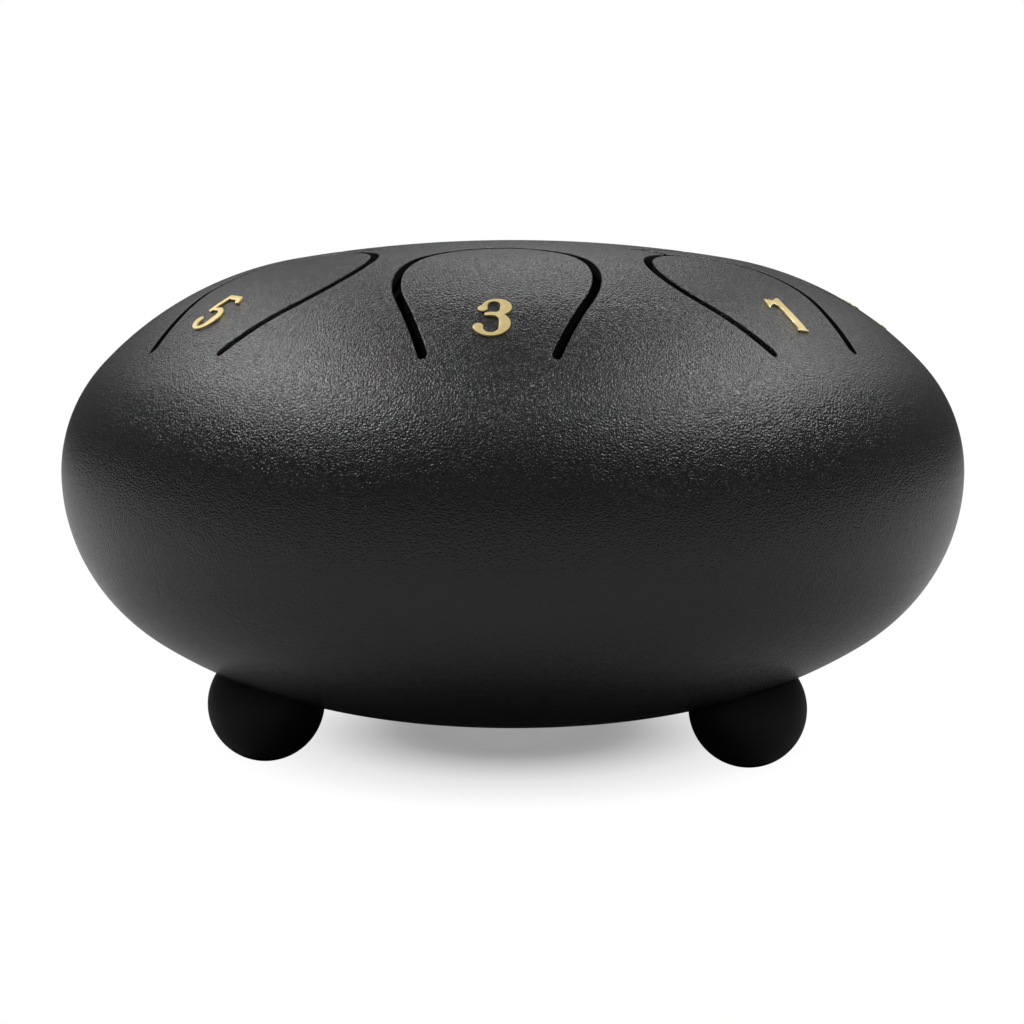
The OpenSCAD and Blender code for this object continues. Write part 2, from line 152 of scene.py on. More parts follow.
class DrumSizes(PropertyGroup):
    """Sizes of the drum's steel, numerals and feet."""

    seam_z: length("Seam height", "Height of the seam between the bowls above the floor", 45.95)
    body_d: length("Width", "Widest diameter of the drum, at the seam", 150)
    wall: length("Sheet", "Thickness of the steel sheet", 1.5)
    crown_h: length("Crown height", "Height of the crown above the seam", 38)
    base_h: length("Base depth", "Depth of the base below the seam", 40.7)
    crown_radii: lengths(
        "Crown radii", "Radii of the crown's middle, shoulder and rim", (214.016, 56.0025, 26)
    )
    base_radii: lengths(
        "Base radii", "Radii of the base's middle, haunch and rim", (205.002, 74.0025, 32)
    )
    weld_depth: length("Weld depth", "Depth of the groove that the weld fills", 0.8)
    sound_hole_r: length("Sound hole radius", "Radius of the hole under the base", 16)
    lip_h: length("Lip height", "Height of the lip turned in round the sound hole", 3)
    slot_w: length("Cut width", "Width of the cut round each tongue", 1.3)
    edge_r: length("Edge radius", "Radius of the coated edge along a cut", 0.15)
    root_reach: length("Root reach", "Distance from the axis to the roots of the ring tongues", 64.4)
    root_half: length("Root half width", "Half the distance between the ends of a cut", 9.1)
    tip_reach: lengths(
        "Tip reach",
        "Distance from the axis to each tongue's tip",
        (36.2, 33.8, 29.8, 33.2, 33.0, 33.6, 34.2, 36.2),
    )
    tongue_half: lengths(
        "Tongue half width",
        "Half of each tongue's greatest width",
        (13.3, 14.4, 14.4, 14.4, 14.7, 13.2, 14.4, 13.4),
    )
    tip_round_share: FloatProperty(
        name="Tip roundness",
        description="Tip radius as a share of the half width",
        default=0.78,
        min=0.5,
        max=0.95,
    )
    centre_cut_r: length("Centre cut radius", "Radius of the middle of the centre tongue's cut", 29.6)
    centre_mouth: angle("Centre mouth", "Angle that the centre tongue's cut leaves open", 82)
    numeral_edge: length("Numeral edge", "Width of the bevel round a numeral's face", 0.12)
    foot_d: length("Foot diameter", "Diameter of a rubber ball foot", 18.8)
    foot_reach: length("Foot reach", "Distance from the axis to the middle of a foot", 44.7)
    foot_flat: length("Foot flat", "Depth of the flat that a foot rests on", 0.3)
    neck_d: length("Neck diameter", "Diameter of a foot's neck", 6)
    head_d: length("Head diameter", "Diameter of the head that holds a foot", 9)
    head_h: length("Head height", "Height of the head that holds a foot", 3.5)
    foot_turn: angle("Feet turn", "Turn of the ring of feet about the axis", -0.3)
    round_steps: IntProperty(
        name="Round steps", description="Facets round the drum", default=240, min=48, max=480
    )


class DrumColours(PropertyGroup):
    """Colours of the finishes and the stage."""

    powder: colour("Powder coat", "Black powder coat", (0.0028, 0.0028, 0.003))
    # Lighter coat for the speckle: painted light on raised grain, against painted shade in its pits
    powder_high: colour(
        "Powder coat, raised grain", "Powder coat on top of its grain", (0.010, 0.010, 0.0105)
    )
    # Near-black coat: painted shade on the walls of the cuts and inside the drum
    painted_shade_wall: colour("Cut walls", "Coat on the walls of the cuts", (0.0012, 0.0012, 0.0013))
    gold: colour("Numeral gold", "Face of the gold numerals", (0.58, 0.475, 0.235))
    # Pale cream gold on the numerals' bevels: a painted highlight
    gold_edge: colour("Numeral edge", "Bevelled edge of the gold numerals", (1.0, 0.92, 0.68))
    rubber: colour("Rubber", "Black rubber of the feet", (0.0028, 0.0028, 0.003))
    floor: colour("Floor", "Pale floor", (0.48, 0.48, 0.48))


def sizes():
    return bpy.context.scene.drum_sizes


def colours():
    return bpy.context.scene.drum_colours


# Shape of the drum


class Side:
    """Half of the drum's outline: three arcs from its axis to the seam, above it or below it."""

    def __init__(self, height, radii, up):
        s = sizes()
        middle_r, shoulder_r, rim_r = radii
        middle_c = Vector((0, height - middle_r))
        rim_c = Vector((s.body_d / 2 - rim_r, 0))
        apart = (rim_c - middle_c).length
        to_rim = (rim_c - middle_c) / apart
        from_middle = middle_r - shoulder_r
        along = (from_middle**2 - (shoulder_r - rim_r) ** 2 + apart**2) / (2 * apart)
        aside = math.sqrt(from_middle**2 - along**2)
        shoulder_c = middle_c + along * to_rim + aside * Vector((-to_rim.y, to_rim.x))
        self.up = up
        self.centres = (middle_c, shoulder_c, rim_c)
        self.radii = (middle_r, shoulder_r, rim_r)
        leans = [math.atan2(d.x, d.y) for d in (shoulder_c - middle_c, rim_c - shoulder_c)]
        self.leans = (0.0, *leans, math.pi / 2)

    def arc(self, reach):
        """Number of the arc that passes over a distance from the axis."""
        for k in (0, 1):
            if reach < self.centres[k].x + self.radii[k] * math.sin(self.leans[k + 1]):
                return k
        return 2

    def height(self, reach, inset=0.0):
        """Height of the side at a distance from the axis, in the part's frame."""
        k = self.arc(reach)
        c, r = self.centres[k], self.radii[k] - inset
        rise = c.y + math.sqrt(max(r**2 - (reach - c.x) ** 2, 0))
        return sizes().seam_z + self.up * rise

    def normal(self, point):
        """Outward direction of the side under or over a point."""
        reach = math.hypot(point.x, point.y)
        k = self.arc(reach)
        lean = math.asin(min(max((reach - self.centres[k].x) / self.radii[k], 0), 1))
        out = math.sin(lean) / max(reach, 1e-9)
        return Vector((point.x * out, point.y * out, self.up * math.cos(lean)))

    def groove(self, share=1.0):
        """Lean at which the weld's groove starts, or some share of the way to it from the seam."""
        return math.pi / 2 - sizes().weld_depth / self.radii[2] * share

    def outline(self, steps, inset=0.0, end=math.pi / 2):
        """Points of the side from the axis to the seam, with so many steps in each arc."""
        points = []
        for k in range(3):
            low, high = self.leans[k], min(self.leans[k + 1], end)
            for i in range(steps[k]):
                points.append(self.at(k, low + (high - low) * i / steps[k], inset))
        points.append(self.at(2, end, inset))
        return points

    def at(self, k, lean, inset=0.0):
        """Point of an arc at a lean from upright."""
        c, r = self.centres[k], self.radii[k] - inset
        x, rise = c.x + r * math.sin(lean), c.y + r * math.cos(lean)
        return Vector((max(x, 0), 0, sizes().seam_z + self.up * rise))


def crown_side():
    s = sizes()
    return Side(s.crown_h, s.crown_radii, 1)


def base_side():
    s = sizes()
    return Side(s.base_h, s.base_radii, -1)


def arc(centre, radius, start, end, steps):
    """Points along an arc, without its last one."""
    points = []
    for i in range(steps):
        a = start + (end - start) * i / steps
        points.append(Vector((centre[0] + radius * math.cos(a), centre[1] + radius * math.sin(a))))
    return points


def line(start, end, steps):
    """Points along a line, without its last one."""
    return [Vector(start).lerp(Vector(end), i / steps) for i in range(steps)]


def tongue_outline(note, grow, capped):
    """Outline of a ring tongue in plan with its tip towards the axis, grown by some distance.

    A capped one goes round the ends of the cut, as the hole in the crown does.
    """
    s = sizes()
    tip, half = s.tip_reach[note - 1], s.tongue_half[note - 1]
    tip_r = s.tip_round_share * half
    tip_x = tip + tip_r
    widest = (tip + s.root_reach) / 2
    cheek_r = ((widest - tip_x) ** 2 + half**2 - tip_r**2) / (2 * (half - tip_r))
    cheek = Vector((widest, half - cheek_r))
    end = Vector((s.root_reach, s.root_half))
    apart = end - cheek
    lean = math.atan2(apart.y, apart.x) - math.asin(cheek_r / apart.length)
    leg_normal = Vector((-math.sin(lean), math.cos(lean)))
    leg_end = end + grow * leg_normal if capped else Vector((end.x, end.y + grow / math.cos(lean)))
    turn = math.atan2(-cheek.y, tip_x - widest)
    quarter = math.pi / 2
    side = line(leg_end, cheek + (cheek_r + grow) * leg_normal, LEG_STEPS)
    side += arc(cheek, cheek_r + grow, lean + quarter, turn, CHEEK_STEPS)
    side += arc((tip_x, 0), tip_r + grow, turn, math.pi, TIP_STEPS)
    points = side + [Vector((tip - grow, 0))] + [Vector((p.x, -p.y)) for p in reversed(side)]
    if capped:
        low = arc((end.x, -end.y), grow, -quarter - lean, quarter, END_STEPS)
        high = arc(end, grow, -quarter, quarter + lean, END_STEPS)
        points = points[:-1] + low + [Vector((end.x, grow - end.y))] + high
    return points


def centre_outline(grow, capped):
    """Outline of the centre tongue in plan, its root across the front."""
    s = sizes()
    half = s.centre_mouth / 2
    quarter = math.pi / 2
    chord = -s.centre_cut_r * math.cos(half)
    r = s.centre_cut_r + grow
    if not capped:
        start = math.asin(chord / r)
        last = Vector((-math.sqrt(r**2 - chord**2), chord))
        return arc((0, 0), r, start, math.pi - start, CENTRE_STEPS) + [last]
    end_x = s.centre_cut_r * math.sin(half)
    points = arc((0, 0), r, half - quarter, 3 * quarter - half, CENTRE_STEPS)
    points += arc((-end_x, chord), grow, 3 * quarter - half, 4 * quarter, END_STEPS)
    points += line((grow - end_x, chord), (end_x - grow, chord), 1)
    points += arc((end_x, chord), grow, 2 * quarter, 3 * quarter + half, END_STEPS)
    return points


def neck_outline(note, grow):
    """Outline of the neck that joins a tongue's cut to the centre tongue's."""
    s = sizes()
    near, far = s.centre_cut_r, s.tip_reach[note - 1]
    corners = [(near, -grow), (far, -grow), (far, grow), (near, grow)]
    return [p for a, b in zip(corners, corners[1:] + corners[:1]) for p in line(a, b, NECK_STEPS)]


def note_turn(note):
    """Angle from +X to a note's tongue."""
    return math.radians(RING_STEP * RING_PLACE[note - 1] + FRONT)


# Meshes


def new_object(name, bm):
    """Object in the scene with the shape of a bmesh, which is then freed."""
    mesh = bpy.data.meshes.new(name)
    bm.to_mesh(mesh)
    bm.free()
    obj = bpy.data.objects.new(name, mesh)
    bpy.context.scene.collection.objects.link(obj)
    return obj


def spun(name, outline, steps, closed=False):
    """Object made by spinning an outline about the drum's axis."""
    bm = bmesh.new()
    verts = [bm.verts.new(p) for p in outline]
    ends = verts[1:] + verts[:1] if closed else verts[1:]
    edges = [bm.edges.new(pair) for pair in zip(verts, ends)]
    bmesh.ops.spin(
        bm,
        geom=verts + edges,
        cent=(0, 0, 0),
        axis=(0, 0, 1),
        angle=2 * math.pi,
        steps=steps,
        use_merge=True,
    )
    bmesh.ops.remove_doubles(bm, verts=bm.verts, dist=1e-7)
    bmesh.ops.recalc_face_normals(bm, faces=bm.faces)
    return new_object(name, bm)


def raised(bm, ring, points):
    """Extrudes a ring of vertices to new points."""
    members = set(ring)
    edges = [e for e in {e for v in ring for e in v.link_edges} if set(e.verts) <= members]
    made = bmesh.ops.extrude_edge_only(bm, edges=edges)["geom"]
    fresh = {g for g in made if isinstance(g, bmesh.types.BMVert)}
    top = [next(e.other_vert(v) for e in v.link_edges if e.other_vert(v) in fresh) for v in ring]
    for vert, point in zip(top, points):
        vert.co = point
    return top


def cutter(name, outline_at, turn, sign):
    """Closed prism for a cut through the crown, rounded where it meets the surface.

    outline_at gives the plan outline for a growth. A positive sign makes a hole, which opens
    out towards the surface, and a negative one the tongue in it, which closes in.
    """
    s = sizes()
    crown = crown_side()
    half, r = s.slot_w / 2, s.edge_r
    spin = Matrix.Rotation(turn, 3, "Z")
    levels = [(half, None, s.seam_z + CUTTER_MARGIN)]
    levels += [(half + out * r, up * r, None) for out, up in EDGE_ROUND]
    levels.append((levels[-1][0], None, s.seam_z + s.crown_h + CUTTER_MARGIN))
    bm = bmesh.new()
    ring = None
    for grow, rise, flat in levels:
        points = []
        for p in outline_at(sign * grow):
            z = flat if rise is None else crown.height(p.length) + rise
            points.append(spin @ Vector((p.x, p.y, z)))
        if ring is None:
            ring = [bm.verts.new(p) for p in points]
            for pair in zip(ring, ring[1:] + ring[:1]):
                bm.edges.new(pair)
        else:
            ring = raised(bm, ring, points)
    bmesh.ops.holes_fill(bm, edges=bm.edges, sides=0)
    bmesh.ops.recalc_face_normals(bm, faces=bm.faces)
    return new_object(name, bm)


def hole_cutters():
    """Cutters for every hole in the crown."""
    plans = [(f"hole_{n}", lambda g, n=n: tongue_outline(n, g, True), note_turn(n)) for n in NOTES]
    plans += [(f"neck_{n}", lambda g, n=n: neck_outline(n, g), note_turn(n)) for n in NECKED_NOTES]
    plans.append(("hole_centre", lambda g: centre_outline(g, True), 0))
    return [cutter(name, outline_at, turn, 1) for name, outline_at, turn in plans]


def combined(obj, others, operation):
    """Replaces an object's mesh by its Boolean with others, which are then removed."""
    group = bpy.data.collections.new("cutters")
    bpy.context.scene.collection.children.link(group)
    for other in others:
        bpy.context.scene.collection.objects.unlink(other)
        group.objects.link(other)
    step = obj.modifiers.new("cut", "BOOLEAN")
    step.operation = operation
    step.solver = "EXACT"
    step.operand_type = "COLLECTION"
    step.collection = group
    graph = bpy.context.evaluated_depsgraph_get()
    mesh = bpy.data.meshes.new_from_object(obj.evaluated_get(graph))
    mesh.materials.clear()
    obj.modifiers.remove(step)
    old = obj.data
    obj.data = mesh
    mesh.name = old.name
    bpy.data.meshes.remove(old)
    for other in others:
        bpy.data.objects.remove(other)
    bpy.data.collections.remove(group)
    return obj


def shade_steel(obj, sides):
    """Gives the sheet's faces the true directions of its curved sides and rounded edges.

    The walls of its cuts and its inner faces take a near-black matt coat, which is painted shade.
    """
    s = sizes()
    mesh = obj.data
    mesh.materials.append(painted_shade_wall())
    mesh.polygons.foreach_set("use_smooth", [True] * len(mesh.polygons))
    normals = [None] * len(mesh.loops)
    for face in mesh.polygons:
        side = sides[0] if face.center.z > s.seam_z else sides[-1]
        facing = face.normal.dot(side.normal(face.center))
        flat = Vector((face.normal.x, face.normal.y, 0))
        # Cut walls and inner faces take the painted shade coat
        face.material_index = 1 if facing < ON_EDGE else 0
        for corner in face.loop_indices:
            point = mesh.vertices[mesh.loops[corner].vertex_index].co
            out = side.normal(point)
            normal = face.normal
            if abs(facing) > IN_SURFACE:
                normal = out if facing > 0 else -out
            elif facing > ON_EDGE and flat.length > 1e-3:
                depth = side.up * (side.height(math.hypot(point.x, point.y)) - point.z)
                share = 1 - min(max(depth / s.edge_r, 0), 1)
                normal = out * share + flat.normalized() * math.sqrt(1 - share**2)
            normals[corner] = normal.normalized()
    mesh.normals_split_custom_set(normals)


def crown_sheet(name):
    """The pressed crown before its cuts."""
    s = sizes()
    crown = crown_side()
    outside = crown.outline(CROWN_OUTSIDE, end=crown.groove())
    inside = crown.outline(CROWN_INSIDE, inset=s.wall)
    return spun(name, outside + [weld_root()] + inside[::-1], s.round_steps)


def weld_root():
    """Bottom of the groove between the bowls."""
    s = sizes()
    return Vector((s.body_d / 2 - s.weld_depth, 0, s.seam_z))


def dressed(obj, body, material, node):
    """Hands a finished piece over: what it rides on, what it stands for and its finish."""
    obj.data.materials.append(material)
    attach(obj, body)
    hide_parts(node)


# Materials


class Value:
    """A socket or a number in shader maths."""

    def __init__(self, shader, socket):
        self.shader, self.socket = shader, socket

    def _math(self, operation, *inputs):
        return self.shader.node("ShaderNodeMath", {"operation": operation}, dict(enumerate(inputs)))

    def __add__(self, other):
        return self._math("ADD", self, other)

    def __mul__(self, other):
        return self._math("MULTIPLY", self, other)

    __radd__ = __add__
    __rmul__ = __mul__


class Shader:
    """A material, or a world, built from nodes."""

    def __init__(self, name, world=None):
        self.material = world or bpy.data.materials.new(name)
        self.material.use_nodes = True
        self.tree = self.material.node_tree
        self.tree.nodes.clear()

    def node(self, kind, settings=None, inputs=None, output=0):
        """Adds a node, sets it up, fills its sockets and returns one of its outputs."""
        made = self.tree.nodes.new(kind)
        for key, value in (settings or {}).items():
            if key == "stops":
                self._stops(made.color_ramp, value)
            else:
                setattr(made, key, value)
        for key, value in (inputs or {}).items():
            if isinstance(value, Value):
                self.tree.links.new(value.socket, made.inputs[key])
            else:
                made.inputs[key].default_value = value
        return Value(self, made.outputs[output]) if made.outputs else None

    def _stops(self, ramp, stops):
        while len(ramp.elements) < len(stops):
            ramp.elements.new(0.5)
        for element, (place, shade) in zip(ramp.elements, stops):
            element.position = place
            element.color = (shade, shade, shade, 1)

    def position(self):
        return self.node("ShaderNodeTexCoord", output="Object")

    def noise(self, size, detail=2.0, roughness=0.5):
        """Noise whose features have a size in metres."""
        inputs = {"Scale": 1 / size, "Detail": detail, "Roughness": roughness}
        inputs["Vector"] = self.position()
        return self.node("ShaderNodeTexNoise", inputs=inputs, output="Fac")

    def ramp(self, value, *stops):
        return self.node("ShaderNodeValToRGB", {"stops": stops}, {"Fac": value})

    def blend(self, share, first, second):
        """Colour between two colours."""
        return self.node(
            "ShaderNodeMix",
            {"data_type": "RGBA"},
            {0: share, 6: (*first, 1), 7: (*second, 1)},
            output=2,
        )

    def bump(self, height, depth, strength=1.0):
        """Surface direction bent by a height, whose full depth is in metres."""
        inputs = {"Height": height, "Distance": depth, "Strength": strength}
        return self.node("ShaderNodeBump", inputs=inputs)

    def finish(self, **inputs):
        """Ends the material in a Principled shader."""
        words = {key.replace("_", " "): value for key, value in inputs.items()}
        surface = self.node("ShaderNodeBsdfPrincipled", inputs=words)
        self.node("ShaderNodeOutputMaterial", inputs={"Surface": surface})
        return self.material


def made_once(make):
    """A finish that is made the first time and found by its name after that."""

    def found():
        return bpy.data.materials.get(make.__name__) or make()

    return found


@made_once
def powder_coat():
    """Black powder coat: a fine hard grain over a shallow orange peel, with a random speckle of lighter
    coat that is painted light on raised grain against painted shade in its pits.
    """
    c = colours()
    m = Shader("powder_coat")
    grain = m.noise(0.00028, 1.0)
    peel = m.noise(0.0014, 1.0)
    # Random speckle of the lighter coat: painted light on raised grain against painted shade in its
    # pits; random patches add to the mix
    grain_light_speckle = m.ramp(m.noise(0.00022, 1.0), (0.50, 0.0), (0.72, 1.0))
    patches = m.noise(0.03, 3.0)
    height = grain * 0.85 + peel * 0.30
    colour_mix = m.blend(grain_light_speckle * 0.7 + patches * 0.25, c.powder, c.powder_high)
    return m.finish(
        Base_Color=colour_mix,
        Roughness=0.13 + grain * 0.06 + patches * 0.03,
        Specular_IOR_Level=0.5,
        Normal=m.bump(height, 0.00018, 1.0),
    )


@made_once
def painted_shade_wall():
    """Near-black matt coat on the walls of the cuts and inside the drum: painted shade for those
    recesses.
    """
    c = colours()
    m = Shader("painted_shade_wall")
    streaks = m.noise(0.0004, 3.0, 0.6)
    return m.finish(
        Base_Color=m.blend(streaks, c.painted_shade_wall, [v * 2 for v in c.painted_shade_wall]),
        Roughness=0.65 + streaks * 0.2,
        Specular_IOR_Level=0.08,
    )


@made_once
def numeral_gold():
    """Gold metal with a faint brushed grain."""
    c = colours()
    m = Shader("numeral_gold")
    grain = m.noise(0.0002, 3.0, 0.6)
    tone = m.noise(0.0012, 2.0)
    return m.finish(
        Base_Color=m.blend(tone, c.gold, [min(v * 1.2, 1) for v in c.gold]),
        Metallic=1.0,
        Roughness=0.46 + grain * 0.14,
        Normal=m.bump(grain, 0.00002, 0.5),
    )


@made_once
def numeral_edge():
    """The same gold, lightened to a pale cream along a numeral's bevel: a painted highlight."""
    c = colours()
    m = Shader("numeral_edge")
    grain = m.noise(0.0002, 3.0, 0.6)
    return m.finish(
        Base_Color=m.blend(grain, c.gold_edge, [v * 0.9 for v in c.gold_edge]),
        Metallic=1.0,
        Roughness=0.22 + grain * 0.1,
    )


@made_once
def foot_rubber():
    """Smooth black rubber with a faint bloom."""
    c = colours()
    m = Shader("foot_rubber")
    bloom = m.noise(0.004, 4.0, 0.6)
    fine = m.noise(0.0003, 2.0)
    return m.finish(
        Base_Color=m.blend(bloom, c.rubber, [v * 1.8 for v in c.rubber]),
        Roughness=0.50 + bloom * 0.14,
        Specular_IOR_Level=0.24,
        Normal=m.bump(fine, 0.00003, 0.4),
    )


# Operators


class DRUM_OT_crown(Operator):
    """Cut the crown round its tongues"""

    bl_idname = "drum.crown"
    bl_label = "Crown"

    def execute(self, context):
        obj = combined(crown_sheet("crown"), hole_cutters(), "DIFFERENCE")
        dressed(obj, "drum", powder_coat(), "upper_shell")
        shade_steel(obj, [crown_side()])
        return {"FINISHED"}


class DRUM_OT_tongues(Operator):
    """Make the eight ring tongues and the centre tongue"""

    bl_idname = "drum.tongues"
    bl_label = "Tongues"

    def execute(self, context):
        plans = [
            (f"tongue_{n}", lambda g, n=n: tongue_outline(n, g, False), note_turn(n)) for n in NOTES
        ]
        plans.append(("centre_tongue", lambda g: centre_outline(g, False), 0))
        for node, outline_at, turn in plans:
            blank = cutter("blank", outline_at, turn, -1)
            obj = combined(crown_sheet(node + "_plate"), [blank], "INTERSECT")
            dressed(obj, node, powder_coat(), node)
            shade_steel(obj, [crown_side()])
        return {"FINISHED"}


class DRUM_OT_base(Operator):
    """Spin the base with its turned-in sound hole"""

    bl_idname = "drum.base"
    bl_label = "Base"

    def execute(self, context):
        s = sizes()
        base = base_side()
        lip_in, lip_out = s.sound_hole_r, s.sound_hole_r + s.wall
        outside = base.outline(BASE_OUTSIDE, end=base.groove())
        outside = [p for p in outside if p.x > lip_in + LIP_CLEAR_OUTSIDE]
        inside = base.outline(BASE_INSIDE, inset=s.wall)
        inside = [p for p in inside if p.x > lip_out + LIP_CLEAR_INSIDE]
        outline = self.lip(base, lip_in, lip_out) + inside + [weld_root()] + outside[::-1]
        obj = spun("base", outline, s.round_steps, closed=True)
        combined(obj, [neck_hole(k) for k in range(3)], "DIFFERENCE")
        obj.data.polygons.foreach_set("use_smooth", [True] * len(obj.data.polygons))
        shade_base(obj, base)
        dressed(obj, "drum", powder_coat(), "lower_shell")
        return {"FINISHED"}

    def lip(self, base, lip_in, lip_out):
        """Outline of the sheet turned up round the sound hole, from its outside to its inside."""
        s = sizes()
        r, half = LIP_TURN_R, s.wall / 2
        low = base.height(lip_in)
        up = [
            Vector((lip_in + r * (1 - math.cos(a)), 0, low + r * (1 - math.sin(a))))
            for a in [math.pi / 2 * (1 - i / 6) for i in range(7)]
        ]
        middle = s.seam_z - s.base_h + s.wall + s.lip_h - half
        over = [
            Vector((lip_in + half + half * math.cos(a), 0, middle + half * math.sin(a)))
            for a in [math.pi * (1 - i / 8) for i in range(9)]
        ]
        foot = base.height(lip_out, s.wall)
        corner = ((0, r), (LIP_TURN_MID, LIP_TURN_MID), (r, 0))
        return up + over + [Vector((lip_out + x, 0, foot + z)) for x, z in corner]


def shade_base(obj, base):
    """Smooth directions on the base: true ones on its big curves, and soft ones round the lip."""
    s = sizes()
    mesh = obj.data
    normals = [None] * len(mesh.loops)
    soft = [Vector(v.normal) for v in mesh.vertices]
    for face in mesh.polygons:
        facing = face.normal.dot(base.normal(face.center))
        reach = math.hypot(face.center.x, face.center.y)
        for corner in face.loop_indices:
            index = mesh.loops[corner].vertex_index
            point = mesh.vertices[index].co
            if reach < s.sound_hole_r + LIP_SOFT:
                normal = soft[index]
            elif abs(facing) > IN_SURFACE:
                out = base.normal(point)
                normal = out if facing > 0 else -out
            else:
                normal = face.normal
            normals[corner] = normal.normalized()
    mesh.normals_split_custom_set(normals)


class DRUM_OT_weld(Operator):
    """Fill the groove between the bowls flush"""

    bl_idname = "drum.weld"
    bl_label = "Seam weld"

    def execute(self, context):
        crown, base = crown_side(), base_side()
        high, low = (
            [side.at(2, side.groove(i / WELD_STEPS)) for i in range(WELD_STEPS + 1)]
            for side in (crown, base)
        )
        outline = high[::-1] + low[1:] + [weld_root()]
        obj = spun("weld_bead", outline, sizes().round_steps, closed=True)
        dressed(obj, "drum", powder_coat(), "seam_weld")
        shade_steel(obj, [crown, base])
        return {"FINISHED"}


class DRUM_OT_numerals(Operator):
    """Bevel the raised gold numerals"""

    bl_idname = "drum.numerals"
    bl_label = "Numerals"

    def execute(self, context):
        crown = crown_side()
        for note in NOTES:
            node = f"numeral_{note}"
            bm = bmesh.new()
            bm.from_mesh(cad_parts[node].data)
            bmesh.ops.remove_doubles(bm, verts=bm.verts, dist=2e-6)
            bmesh.ops.recalc_face_normals(bm, faces=bm.faces)
            bmesh.ops.dissolve_limit(
                bm, angle_limit=math.radians(NUMERAL_FLAT), verts=bm.verts, edges=bm.edges
            )
            rim = []
            for edge in bm.edges:
                if len(edge.link_faces) == 2:
                    up = [self.upward(face, crown) for face in edge.link_faces]
                    if max(up) > NUMERAL_FACE and min(up) < NUMERAL_FLANK:
                        rim.append(edge)
            bmesh.ops.bevel(
                bm,
                geom=rim,
                offset=sizes().numeral_edge,
                offset_type="OFFSET",
                affect="EDGES",
                segments=2,
                profile=0.5,
                material=-1,
                clamp_overlap=True,
            )
            # Bevel faces take the pale gold, a painted highlight
            for face in bm.faces:
                bevelled = BEVEL_LOW <= self.upward(face, crown) <= BEVEL_HIGH
                face.material_index = 1 if bevelled else 0
                face.smooth = True
            obj = new_object(f"gold_{note}", bm)
            obj.data.set_sharp_from_angle(angle=math.radians(NUMERAL_SHARP))
            dressed(obj, f"tongue_{note}", numeral_gold(), node)
            # Second material: the bevel's painted highlight
            obj.data.materials.append(numeral_edge())
        return {"FINISHED"}

    def upward(self, face, crown):
        """How closely a face follows the crown under it: 1 is its front, and 0 its flank."""
        return face.normal.dot(crown.normal(face.calc_center_median()))


def foot_frame(index):
    """Matrix that takes the neck's axis to +Z at the middle of a foot's ball."""
    s = sizes()
    base = base_side()
    ball_z = s.foot_d / 2 - s.foot_flat
    drop = s.seam_z - ball_z
    lean = math.atan2(s.foot_reach - base.centres[1].x, drop - base.centres[1].y)
    turn = s.foot_turn + math.radians(FOOT_STEP * index + FIRST_FOOT)
    place = Matrix.Rotation(turn, 4, "Z") @ Matrix.Translation((s.foot_reach, 0, ball_z))
    return place @ Matrix.Rotation(-lean, 4, "Y")


def ball_to_base():
    """Distance from the middle of a foot's ball to the base's surface."""
    s = sizes()
    base = base_side()
    drop = s.seam_z - s.foot_d / 2 + s.foot_flat
    return (Vector((s.foot_reach, drop)) - base.centres[1]).length - base.radii[1]


def neck_hole(index):
    """Cutter for the hole in the base that a foot's neck goes through."""
    s = sizes()
    r = s.neck_d / 2 + NECK_GAP
    bm = bmesh.new()
    bmesh.ops.create_cone(
        bm,
        cap_ends=True,
        segments=STEM_STEPS,
        radius1=r,
        radius2=r,
        depth=2 * (ball_to_base() + s.wall + s.head_h),
    )
    bmesh.ops.transform(bm, matrix=foot_frame(index), verts=bm.verts)
    return new_object(f"neck_hole_{index}", bm)


class DRUM_OT_feet(Operator):
    """Mould the three rubber ball feet"""

    bl_idname = "drum.feet"
    bl_label = "Feet"

    def execute(self, context):
        for index, node in enumerate(("foot_front_left", "foot_front_right", "foot_rear")):
            foot = combined(self.ball(index), [self.trim()], "DIFFERENCE")
            neck = self.neck()
            bm = bmesh.new()
            bm.from_mesh(neck.data)
            bmesh.ops.transform(bm, matrix=foot_frame(index), verts=bm.verts)
            bm.from_mesh(foot.data)
            bm.to_mesh(foot.data)
            bm.free()
            bpy.data.objects.remove(neck)
            foot.data.polygons.foreach_set("use_smooth", [True] * len(foot.data.polygons))
            foot.data.set_sharp_from_angle(angle=math.radians(35))
            dressed(foot, "drum", foot_rubber(), node)
        return {"FINISHED"}

    def ball(self, index):
        """Ball with a flat to stand on."""
        bm = bmesh.new()
        bmesh.ops.create_uvsphere(bm, u_segments=96, v_segments=64, radius=sizes().foot_d / 2)
        bmesh.ops.transform(bm, matrix=foot_frame(index), verts=bm.verts)
        bmesh.ops.bisect_plane(
            bm,
            geom=bm.verts[:] + bm.edges[:] + bm.faces[:],
            plane_co=(0, 0, 0),
            plane_no=(0, 0, -1),
            clear_outer=True,
        )
        bmesh.ops.holes_fill(bm, edges=bm.edges, sides=0)
        return new_object(f"foot_ball_{index}", bm)

    def trim(self):
        """Solid form of the base, which takes away the part of a ball that would enter it."""
        s = sizes()
        lid_z = s.seam_z + TRIM_LID
        lid = [Vector((0, 0, lid_z)), Vector((s.body_d / 2, 0, lid_z))]
        return spun("base_fill", lid + base_side().outline(BASE_TRIM, inset=-FOOT_GAP)[::-1], 120)

    def neck(self):
        """Neck through the base with the head that holds it inside, upright at the axis."""
        s = sizes()
        neck_r, head_r, tip_r = s.neck_d / 2, s.head_d / 2, s.head_d * HEAD_TIP
        under = ball_to_base() + s.wall + HEAD_GAP
        top = under + s.head_h
        outline = (
            (0, 0),
            (neck_r, 0),
            (neck_r, under),
            (head_r - HEAD_BEVEL, under),
            (head_r, under + HEAD_BEVEL),
            (tip_r + HEAD_BEVEL, top - HEAD_BEVEL),
            (tip_r, top),
            (0, top),
        )
        return spun("neck", [(x, 0, z) for x, z in outline], STEM_STEPS)


